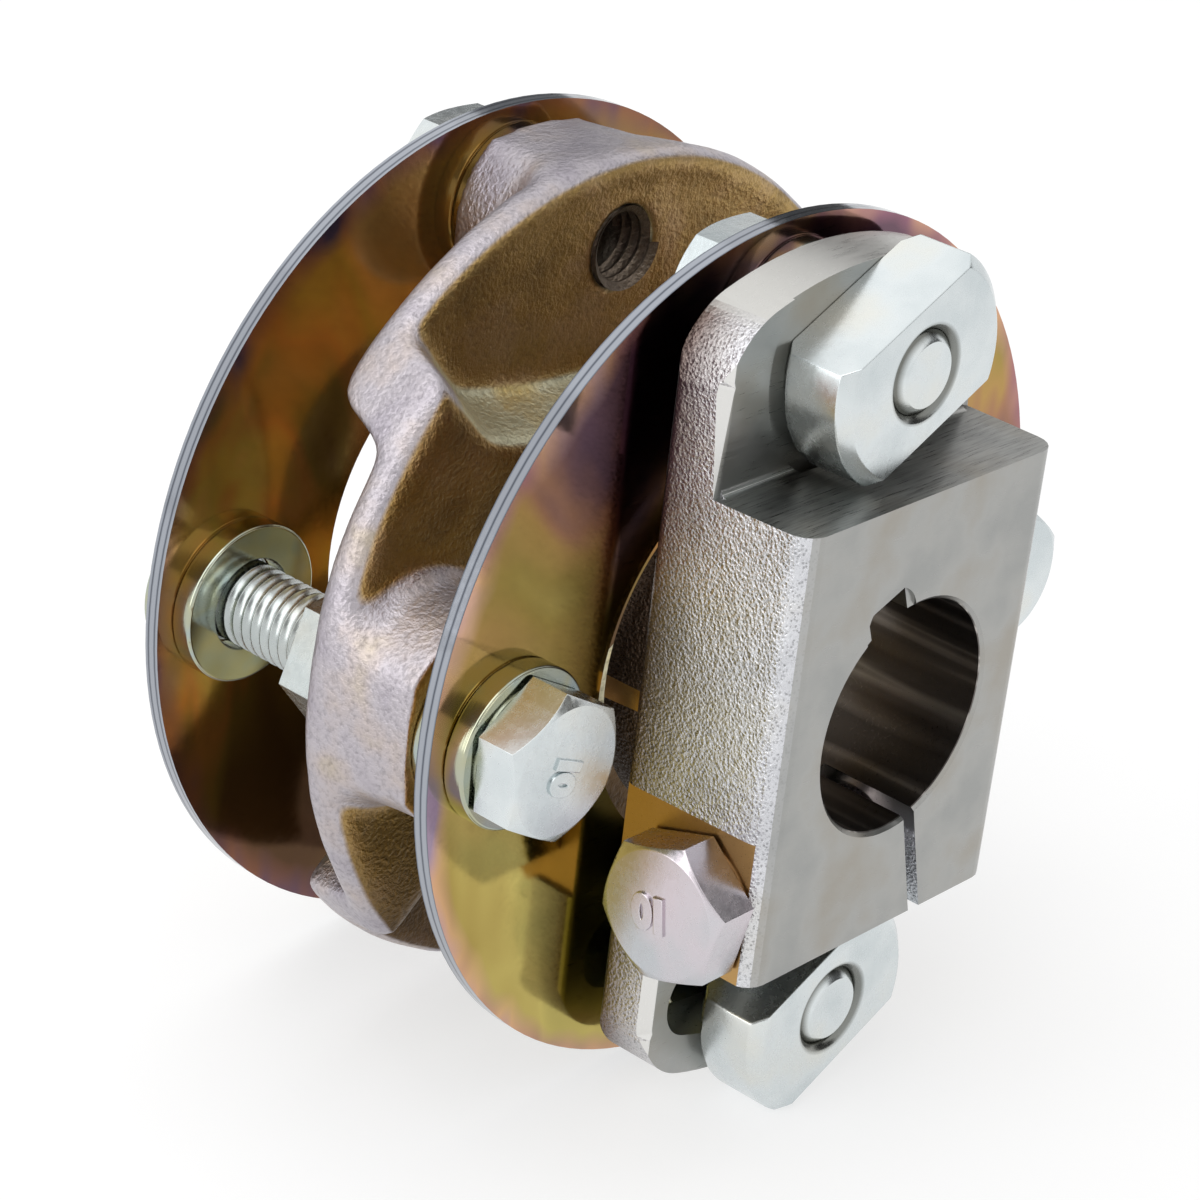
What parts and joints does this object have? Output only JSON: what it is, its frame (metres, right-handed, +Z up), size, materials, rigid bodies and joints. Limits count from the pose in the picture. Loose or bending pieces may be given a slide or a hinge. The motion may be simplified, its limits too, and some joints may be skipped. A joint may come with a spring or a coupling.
{
  "type": "flexible disc shaft coupling",
  "caption": "Shaft coupling with a split clamp hub, two laminated flexible discs and a cast centre piece, bolted together alternately.",
  "frame": {"origin": "on the shaft axis at the clamp hub's front face", "axes": "+Y along the shaft from the hub to the flange side, +Z up through the upper ear and its nut, +X to the right seen from the hub's front"},
  "size_m": [0.105, 0.0785, 0.1058],
  "materials": {
    "hub_steel": "bare cast steel, blasted sides and milled faces",
    "bright_zinc": "bright zinc plated steel",
    "washer_zinc": "turned and zinc plated steel",
    "yellow_zinc_spring_steel": "mirror smooth yellow zinc plating with colour bands",
    "yellow_zinc_casting": "sand cast, yellow zinc plated"
  },
  "bodies": {
    "root": {"clamp_hub": "hub_steel", "clamp_bolt": "bright_zinc", "top_plate_nut": "bright_zinc", "bottom_plate_nut": "bright_zinc", "front_lamina_1": "yellow_zinc_spring_steel", "front_lamina_2": "yellow_zinc_spring_steel", "front_lamina_3": "yellow_zinc_spring_steel", "front_lamina_4": "yellow_zinc_spring_steel", "rear_lamina_1": "yellow_zinc_spring_steel", "rear_lamina_2": "yellow_zinc_spring_steel", "rear_lamina_3": "yellow_zinc_spring_steel", "rear_lamina_4": "yellow_zinc_spring_steel", "front_top_bolt": "bright_zinc", "front_bottom_bolt": "bright_zinc", "front_left_bolt": "bright_zinc", "front_right_bolt": "bright_zinc", "top_ear_washer": "washer_zinc", "bottom_ear_washer": "washer_zinc", "top_head_washer": "washer_zinc", "bottom_head_washer": "washer_zinc", "left_head_washer": "washer_zinc", "right_head_washer": "washer_zinc", "left_boss_washer": "washer_zinc", "right_boss_washer": "washer_zinc", "centre_casting": "yellow_zinc_casting", "rear_top_bolt": "bright_zinc", "rear_bottom_bolt": "bright_zinc", "rear_left_bolt": "bright_zinc", "rear_right_bolt": "bright_zinc", "rear_top_washer": "washer_zinc", "rear_bottom_washer": "washer_zinc", "rear_left_washer": "washer_zinc", "rear_right_washer": "washer_zinc", "rear_top_head_washer": "washer_zinc", "rear_bottom_head_washer": "washer_zinc", "rear_left_end_washer": "washer_zinc", "rear_right_end_washer": "washer_zinc"}
  },
  "joints": []
}
